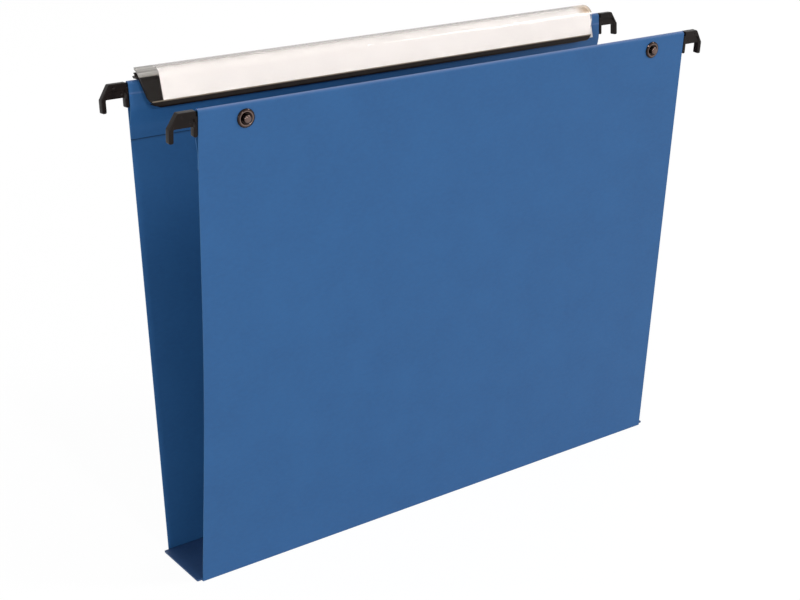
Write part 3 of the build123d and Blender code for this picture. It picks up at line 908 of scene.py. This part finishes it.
class LabelPlaces:
    """Places (v, w) of the label parts in the back panel's frame, with w counted from the top fold."""

    def __init__(self, label, card):
        self.label = label
        self.lift = (0, panel_top(card))
        self.holder_top = label.clip_room + label.wall
        self.holder_back = -card.hem_half - label.clip_room - label.clip_wall
        self.plate_face = card.hem_half + label.cap_room + label.wall / cos(label.tilt)
        self.plate_run = (label.drop + self.holder_top) / cos(label.tilt)
        self.channel = label.strip_room + label.cover_wall + label.slide_room
        self.cover_middle = label.strip_room + label.cover_wall / 2
        self.cover_low = label.shelf + label.slide_room - self.plate_run
        self.foot_low = self.holder_top + label.slide_room
        self.roof = self.holder_top + label.dome_rise
        self.toe = label.cover_wall / 2 - label.dome_overhang + label.foot_length

    def plate(self, forward, up):
        """Point forward of the tilted plate's face, and up it from the holder's top."""
        tilt = self.label.tilt
        return (self.plate_face + forward * cos(tilt) - up * sin(tilt),
                self.holder_top + forward * sin(tilt) + up * cos(tilt))

    def plate_rear(self, w):
        """Point on the plate's rear face at a height."""
        tilt = self.label.tilt
        up = (w - self.holder_top + self.label.wall * sin(tilt)) / cos(tilt)
        return self.plate(-self.label.wall, up)

    def ends(self, w):
        """Both ends of the holder and its cover at a height.
        They slant in below the top and round off at the foot."""
        label = self.label
        faces = self.channel + label.lip_wall, -label.wall
        foot = min(self.plate(face, -self.plate_run)[1] for face in faces)
        drop = np.clip((self.holder_top - w) / (self.holder_top - foot), 0, 1)
        cut = label.slant * drop + round_off(w - foot, label.corner)
        return HOLDER_ENDS[0] + cut, HOLDER_ENDS[1] - cut

    def over_dome(self, inwards):
        """A line up the plate, round the front bend and along the roof to the back bend.
        It lies inside the cover's middle line by inwards."""
        label = self.label
        forward = self.cover_middle - inwards
        roof = self.roof - inwards
        up = (roof - self.holder_top - forward * sin(label.tilt)) / cos(label.tilt)
        corners = [self.plate(forward, self.cover_low), self.plate(forward, up),
                   (label.dome_back - label.dome_overhang, roof)]
        return rounded(corners, [0, label.dome_front - inwards, 0], closed=False, steps=16)

    def back_bend(self, inwards, turn):
        """The same line, on round the back bend by an angle."""
        around = np.linspace(0, turn, 17)[1:]
        radius = self.label.dome_back - inwards
        return np.column_stack((self.label.dome_back - self.label.dome_overhang - radius * np.sin(around),
                                self.roof - self.label.dome_back + radius * np.cos(around)))


def holder_shells(label, card, stud):
    """The moulding's section, with the keeper and the clips behind the hem.
    It is carried between ends that slant in by its height and round off at the lower corners."""
    places = LabelPlaces(label, card)
    low = label.shelf - places.plate_run
    lip = label.lip_height - places.plate_run
    front = places.channel + label.lip_wall
    heel = card.hem_half + label.clip_room
    back = places.holder_back
    plate, foot = places.plate, -places.plate_run
    corners = [
        (back, places.holder_top), plate(0, 0), plate(0, low), plate(places.channel, low),
        plate(places.channel, lip), plate(front, lip), plate(front, foot), plate(-label.wall, foot),
        places.plate_rear(-label.drop), (heel, -label.drop), (heel, label.wall - label.drop),
        places.plate_rear(label.wall - label.drop), places.plate_rear(label.clip_room),
        (back, label.clip_room),
    ]
    radii = [r * MM for r in (0.4, 4.0, 0.2, 0.2, 0.25, 0.35, 0.8, 0.15, 0.05, 0.3, 0.3, 0.2, 0.4, 0.4)]
    outline = spaced(rounded(corners, radii), 0.7 * MM)
    # Painted highlight along the top edge of the lip.
    lip_top = plate((places.channel + front) / 2, lip)
    near_lip = np.linalg.norm(outline - lip_top, axis=1) / label.lip_wall
    shells = [(outline, *places.ends(outline[:, 1]), smooth((0.85 - near_lip) / 0.3))]
    tip = places.toe - label.keeper_lap
    stem = places.toe + label.slide_room
    keeper_low = places.holder_top + 2 * label.slide_room + label.foot_height
    keeper_high = keeper_low + label.keeper_height
    root = places.holder_top - label.wall / 2
    keeper = rounded([(stem, root), (stem + label.keeper_stem, root), (stem + label.keeper_stem, keeper_high),
                      (tip, keeper_high), (tip, keeper_low), (stem, keeper_low)],
                     [0, 0, 0.2 * MM, 0.2 * MM, 0.2 * MM, 0.1 * MM])
    shells.append((keeper, *HOLDER_ENDS, 0))
    clip = rounded([(-heel - label.clip_wall, -label.clip_depth), (-heel, -label.clip_depth), (-heel, root),
                    (-heel - label.clip_wall, root)], [0.5 * MM, 0.3 * MM, 0, 0])
    span = 2 * (STUD_X - stud.socket - label.clip_room)
    for i in range(label.clip_count):
        middle = sum(HOLDER_ENDS) / 2 + (i + 0.5) * span / label.clip_count - span / 2
        shells.append((clip, middle - label.clip_width / 2, middle + label.clip_width / 2, 0))
    grids = [carried(section + places.lift, start, stop, stations=40, edge=label.edge_round)
             for section, start, stop, _ in shells]
    return [(stand(grid, "back"), "flat", wear) for grid, (*_, wear) in zip(grids, shells)]


def cover_shell(label, card):
    """The clear cover's section: up the plate, over the dome, down behind and in along its foot.
    Its outer and inner sides match point for point, and its ends are rounded as seen from above. Its painted-light
    mask says how far up the dome each point is: 0 on the plate, 1/2 on the front bend and 1 on the crown."""
    places = LabelPlaces(label, card)
    dome_points = 60
    half = label.cover_wall / 2
    sides = []
    for inwards, foot in ((-half, places.foot_low), (half, places.foot_low + label.foot_height)):
        front_line = even(places.over_dome(inwards), dome_points)
        behind = [(inwards - label.dome_overhang, foot), (places.toe, foot)]
        sides.append(np.vstack((front_line, places.back_bend(inwards, pi / 2), behind)))
    outline = np.vstack((sides[0], sides[1][::-1]))
    v = outline[:, 0]
    start, stop = places.ends(outline[:, 1])
    start = start + round_off(v.max() - v, label.cover_corner) + round_off(v - v.min(), label.cover_corner)
    stop = stop - round_off(v.max() - v, label.cover_corner) - round_off(v - v.min(), label.cover_end)
    height = even(places.over_dome(0.0), dome_points)[:, 1]
    # The mask that places the painted shade and the painted reflections on the dome.
    dome = smooth((height - places.holder_top + 0.8 * MM) / (1.8 * MM))
    crown = smooth((height - places.roof + 0.6 * MM) / (0.6 * MM))
    share = np.concatenate(((dome + crown) / 2, np.ones(len(sides[0]) - dome_points)))
    grid = carried(outline + places.lift, start, stop, stations=60)
    return stand(grid, "back"), "pairs", np.concatenate((share, share[::-1]))


def strip_shell(label, card):
    """The paper strip on the plate and under the dome, round to its back, with a faint wave along it."""
    places = LabelPlaces(label, card)
    inwards = places.cover_middle - label.strip_room / 2
    front_line = spaced(places.over_dome(inwards), 1.0 * MM)
    line = np.vstack((front_line, places.back_bend(inwards, label.paper_wrap)))
    grid = carried(ribbon(line, label.paper / 2) + places.lift, *STRIP_ENDS, stations=80)
    x = grid[..., 0]
    grid[..., 1] += 0.06 * MM * np.sin(x / (19 * MM)) + 0.04 * MM * np.sin(x / (7 * MM) + 1)
    return stand(grid, "back"), "pairs"


class FileOperator:
    """What the operators share."""

    bl_options = {"REGISTER", "UNDO"}


class HANGINGFILE_OT_card_panels(FileOperator, Operator):
    """Make the front and back card panels with their folded hems"""

    bl_idname = "hanging_file.card_panels"
    bl_label = "Card Panels"

    def execute(self, context):
        settings = context.scene.hanging_file
        card, tones = settings.card, settings.finish
        finish = card_finish("dyed_card", tones.card_blue, tones.card_deep, tones.fold)
        # The cut ends take a lighter blue: a painted highlight along the cut edges.
        cut = card_finish("dyed_card_cut_edge", tones.card_cut, tones.card_blue, tones.fold)
        for side, bow in (("front", card.bow), ("back", 0.0)):
            shell = stand(panel_grid(card, bow), side), "pairs", card_painted_light(card)
            make_piece(f"{side}_card_panel", [shell], finish, f"{side}_side", "card", f"{side}_panel",
                       cut=cut)
        return {"FINISHED"}


class HANGINGFILE_OT_base(FileOperator, Operator):
    """Make the flat bottom of the card and the stiffener board that lies on it"""

    bl_idname = "hanging_file.base"
    bl_label = "Base"

    def execute(self, context):
        settings = context.scene.hanging_file
        card, tones = settings.card, settings.finish
        dye = card_finish("base_dyed_card", tones.card_blue, tones.card_deep, tones.fold)
        # The board takes a darker copy of the card's blue: painted shade on the file's bottom.
        board_shaded_deep = shade(tones.board_blue, 0.85)
        board_painted_shade = card_finish("stiffener_board_dye", tones.board_blue, board_shaded_deep, tones.fold)
        sheets = (("base_card", "base_card_sheet", card.base_corner, card.base_edge, dye, "card"),
                  ("base_board", "stiffener_board", card.board_corner, card.board_edge, board_painted_shade, "board"))
        for node, name, corner, edge, finish, slot in sheets:
            low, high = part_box(node)
            corners = [(low.x, low.y), (high.x, low.y), (high.x, high.y), (low.x, high.y)]
            outline = rounded(corners, [corner] * 4)
            grid = carried(spaced(outline, 5 * MM), low.z, high.z, edge=edge)
            make_piece(name, [(np.roll(grid, -1, -1), "flat")], finish, "base", slot, node)
        return {"FINISHED"}


class HANGINGFILE_OT_rails(FileOperator, Operator):
    """Finish the steel rails inside the hems"""

    bl_idname = "hanging_file.rails"
    bl_label = "Rails"

    def execute(self, context):
        settings = context.scene.hanging_file
        finish = metal_finish("zinc_plated_steel", settings.finish.steel, 0.3, 0.5, stretch=(20, 1, 1))
        for side in ("front", "back"):
            mesh = frame["nodes"][f"{side}_rail"].data
            mesh.materials.clear()
            mesh.materials.append(finish)
        return {"FINISHED"}


class HANGINGFILE_OT_runner_hooks(FileOperator, Operator):
    """Make the four moulded runner hooks"""

    bl_idname = "hanging_file.runner_hooks"
    bl_label = "Runner Hooks"

    def execute(self, context):
        settings = context.scene.hanging_file
        finish = plastic_finish("hook_plastic", settings.finish.plastic, settings.finish.edge)
        top = panel_top(settings.card)
        grids = hook_grid(settings.hook, top), tongue_grid(settings.hook, settings.card, top)
        for side, facing in (("front", 1), ("back", -1)):
            for name, end in ENDS.items():
                shells = [(stand(grid * (end * facing, 1, 1), side), "flat") for grid in grids]
                make_piece(f"{side}_{name}_runner_hook", shells, finish, f"{side}_side", "black_plastic",
                           f"{side}_{name}_hook")
        return {"FINISHED"}


class HANGINGFILE_OT_press_studs(FileOperator, Operator):
    """Make the studs on the front hem, the sockets on the back hem, their split rings and the caps inside"""

    bl_idname = "hanging_file.press_studs"
    bl_label = "Press Studs"

    def execute(self, context):
        settings = context.scene.hanging_file
        stud, hem = settings.stud, settings.card.hem_half
        bronze = metal_finish("stud_bronze", settings.finish.bronze, 0.08, 0.2)
        steel = metal_finish("ring_steel", settings.finish.steel, 0.2, 0.35)
        profile = stud_profile(stud)
        wear = stud_painted_light(stud, profile)
        studs, caps, sockets, socket_caps = (
            turned(outline, stud.sides) for outline in (
                profile, cap_profile(stud, hem, stud.stud_grip), socket_profile(stud),
                cap_profile(stud, hem, stud.socket_grip)))
        parts = (
            ("front", "stud", "press_stud", (studs, "none", wear), True, bronze, "stud_metal"),
            ("front", "stud_rivet", "stud_cap", (caps, "none"), False, bronze, "stud_metal"),
            ("back", "socket", "press_socket", (sockets, "loop"), True, bronze, "stud_metal"),
            ("back", "socket_spring", "split_ring", (ring_grid(stud), "flat"), True, steel, "rail_steel"),
            ("back", "socket_rivet", "socket_cap", (socket_caps, "none"), False, bronze, "stud_metal"),
        )
        for name, end in ENDS.items():
            for side, node, piece, (grid, *rest), outward, finish, slot in parts:
                own_end = end if side == "front" else -end
                placed = stand(on_stud_axis(grid, own_end, hem, outward), side)
                make_piece(f"{side}_{name}_{piece}", [(placed, *rest)], finish, f"{side}_side", slot,
                           f"{side}_{name}_{node}", crisp=50.0)
        return {"FINISHED"}


class HANGINGFILE_OT_label_holder(FileOperator, Operator):
    """Make the long label holder that clips over the back hem"""

    bl_idname = "hanging_file.label_holder"
    bl_label = "Label Holder"

    def execute(self, context):
        settings = context.scene.hanging_file
        shells = holder_shells(settings.label, settings.card, settings.stud)
        finish = plastic_finish("holder_plastic", settings.finish.plastic, settings.finish.edge)
        make_piece("label_holder_moulding", shells, finish, "back_side", "black_plastic", "label_holder")
        return {"FINISHED"}


class HANGINGFILE_OT_label_cover(FileOperator, Operator):
    """Make the clear domed cover that slides along the holder"""

    bl_idname = "hanging_file.label_cover"
    bl_label = "Label Cover"

    def execute(self, context):
        settings = context.scene.hanging_file
        shell = cover_shell(settings.label, settings.card)
        tones = settings.finish
        finish = clear_finish("clear_cover", tones.clear, tones.smoke, tones.dull, tones.amber)
        make_piece("label_clear_cover", [shell], finish, "cover", "clear_plastic", "label_cover")
        return {"FINISHED"}


class HANGINGFILE_OT_label_strip(FileOperator, Operator):
    """Make the paper strip under the cover"""

    bl_idname = "hanging_file.label_strip"
    bl_label = "Label Strip"

    def execute(self, context):
        settings = context.scene.hanging_file
        shell = strip_shell(settings.label, settings.card)
        finish = paper_finish("label_paper", settings.finish.paper)
        make_piece("label_paper_strip", [shell], finish, "strip", "paper", "label_strip")
        return {"FINISHED"}


def seen_share(tree, strength):
    """A value that is strength for what the camera, a gloss or a clear piece sees.
    It is 0 for light that falls on things, also where that passes a clear piece on its way, because such
    light has left a matt surface before."""
    path = tree.nodes.new("ShaderNodeLightPath")
    total = path.outputs["Is Camera Ray"]
    for name in ("Is Glossy Ray", "Is Transmission Ray"):
        add = tree.nodes.new("ShaderNodeMath")
        add.operation = "ADD"
        add.use_clamp = True
        tree.links.new(total, add.inputs[0])
        tree.links.new(path.outputs[name], add.inputs[1])
        total = add.outputs[0]
    direct = tree.nodes.new("ShaderNodeMapRange")
    direct.inputs["To Min"].default_value = strength
    direct.inputs["To Max"].default_value = 0.0
    tree.links.new(path.outputs["Diffuse Depth"], direct.inputs["Value"])
    scale = tree.nodes.new("ShaderNodeMath")
    scale.operation = "MULTIPLY"
    tree.links.new(total, scale.inputs[0])
    tree.links.new(direct.outputs["Result"], scale.inputs[1])
    return scale.outputs[0]


def stand_at(thing, spot, facing):
    """Stands a lamp or camera at a spot, facing along a direction."""
    thing.location = spot
    thing.rotation_mode = "QUATERNION"
    thing.rotation_quaternion = facing.to_track_quat("-Z", "Y")


class HANGINGFILE_OT_stage(FileOperator, Operator):
    """Make the floor, the lamps, the even white surroundings and the camera"""

    bl_idname = "hanging_file.stage"
    bl_label = "Stage"

    def execute(self, context):
        settings = context.scene.hanging_file
        stage = settings.stage
        scene = context.scene
        scene.view_settings.view_transform = "Standard"
        self.surroundings(scene, stage)
        self.floor(stage, settings.finish.floor)
        for name in ("key", "front", "side", "rim"):
            self.lamp(stage, name)
        self.camera(scene, stage)
        return {"FINISHED"}

    def lamp(self, stage, name):
        """A square soft lamp that faces the camera's target."""
        light = bpy.data.lights.new(f"{name}_lamp", "AREA")
        light.size = getattr(stage, f"{name}_size")
        light.energy = getattr(stage, f"{name}_power")
        spot = Vector(getattr(stage, f"{name}_place"))
        stand_at(put(f"{name}_lamp", light), spot, Vector(stage.target) - spot)

    def surroundings(self, scene, stage):
        """Even light, shown as plain white wherever it is seen."""
        world = bpy.data.worlds.new("studio")
        world.use_nodes = True
        scene.world = world
        tree = world.node_tree
        light = tree.nodes["Background"]
        light.inputs["Color"].default_value = (1, 1, 1, 1)
        light.inputs["Strength"].default_value = stage.fill
        white = tree.nodes.new("ShaderNodeBackground")
        white.inputs["Color"].default_value = (1, 1, 1, 1)
        shaders = light.outputs["Background"], white.outputs["Background"]
        choose(tree, seen_share(tree, 1.0), *shaders, "World Output")

    def floor(self, stage, tone):
        """Pale floor that shows the camera part plain white and part its own lit surface.
        So the shadow stays soft."""
        half = stage.floor_size
        corners = [(-half, -half, 0), (half, -half, 0), (half, half, 0), (-half, half, 0)]
        mesh = bpy.data.meshes.new("floor")
        mesh.from_pydata(corners, [], [(0, 1, 2, 3)])
        floor = put("floor", mesh)
        finish = Finish("pale_floor")
        cloud = finish.noise(0.4, detail=2.0)
        finish.set(Base_Color=finish.between(cloud, shade(tone, 0.985), shade(tone, 1.015)), Roughness=0.9,
                   Specular_IOR_Level=0.1)
        white = finish.add("ShaderNodeEmission")
        white.inputs["Strength"].default_value = stage.floor_white
        shaders = finish.shader.outputs["BSDF"], white.outputs["Emission"]
        choose(finish.tree, seen_share(finish.tree, stage.floor_glow), *shaders, "Material Output")
        mesh.materials.append(finish.material)

    def camera(self, scene, stage):
        """Camera at the photographed angle, level, with a small vertical shift."""
        data = bpy.data.cameras.new("camera")
        data.sensor_width = SENSOR_WIDTH
        data.lens = stage.lens
        data.shift_y = stage.rise
        data.clip_start, data.clip_end = 0.01, 50.0
        scene.camera = put("camera", data)
        a, e = stage.azimuth, stage.elevation
        back = Vector((sin(a) * cos(e), -cos(a) * cos(e), sin(e)))
        stand_at(scene.camera, Vector(stage.target) + back * stage.distance, -back)


SETTINGS = (CardSizes, HookSizes, StudSizes, LabelSizes, Finishes, StageSettings, HangingFileSettings)
OPERATORS = (
    HANGINGFILE_OT_card_panels, HANGINGFILE_OT_base, HANGINGFILE_OT_rails, HANGINGFILE_OT_runner_hooks,
    HANGINGFILE_OT_press_studs, HANGINGFILE_OT_label_holder, HANGINGFILE_OT_label_cover,
    HANGINGFILE_OT_label_strip, HANGINGFILE_OT_stage,
)


class HANGINGFILE_PT_sidebar(Panel):
    """Lists the file's pieces and their settings"""

    bl_idname = "HANGINGFILE_PT_sidebar"
    bl_label = "Hanging File"
    bl_space_type = "VIEW_3D"
    bl_region_type = "UI"
    bl_category = "Hanging File"

    def draw(self, context):
        """A button for each operator, then a box with the settings of each group."""
        for operator in OPERATORS:
            self.layout.operator(operator.bl_idname)
        for group_name in HangingFileSettings.__annotations__:
            group = getattr(context.scene.hanging_file, group_name)
            box = self.layout.box()
            for name in group.__annotations__:
                box.prop(group, name)


def register():
    """Adds the classes, and the settings to the scene."""
    for cls in (*SETTINGS, *OPERATORS, HANGINGFILE_PT_sidebar):
        bpy.utils.register_class(cls)
    bpy.types.Scene.hanging_file = PointerProperty(type=HangingFileSettings)


def unregister():
    """Takes away what register added."""
    del bpy.types.Scene.hanging_file
    for cls in reversed((*SETTINGS, *OPERATORS, HANGINGFILE_PT_sidebar)):
        bpy.utils.unregister_class(cls)


def main():
    """Makes all the pieces and the stage."""
    register()
    bpy.ops.hanging_file.card_panels()
    bpy.ops.hanging_file.base()
    bpy.ops.hanging_file.rails()
    bpy.ops.hanging_file.runner_hooks()
    bpy.ops.hanging_file.press_studs()
    bpy.ops.hanging_file.label_holder()
    bpy.ops.hanging_file.label_cover()
    bpy.ops.hanging_file.label_strip()
    bpy.ops.hanging_file.stage()


if __name__ == "__main__":
    main()
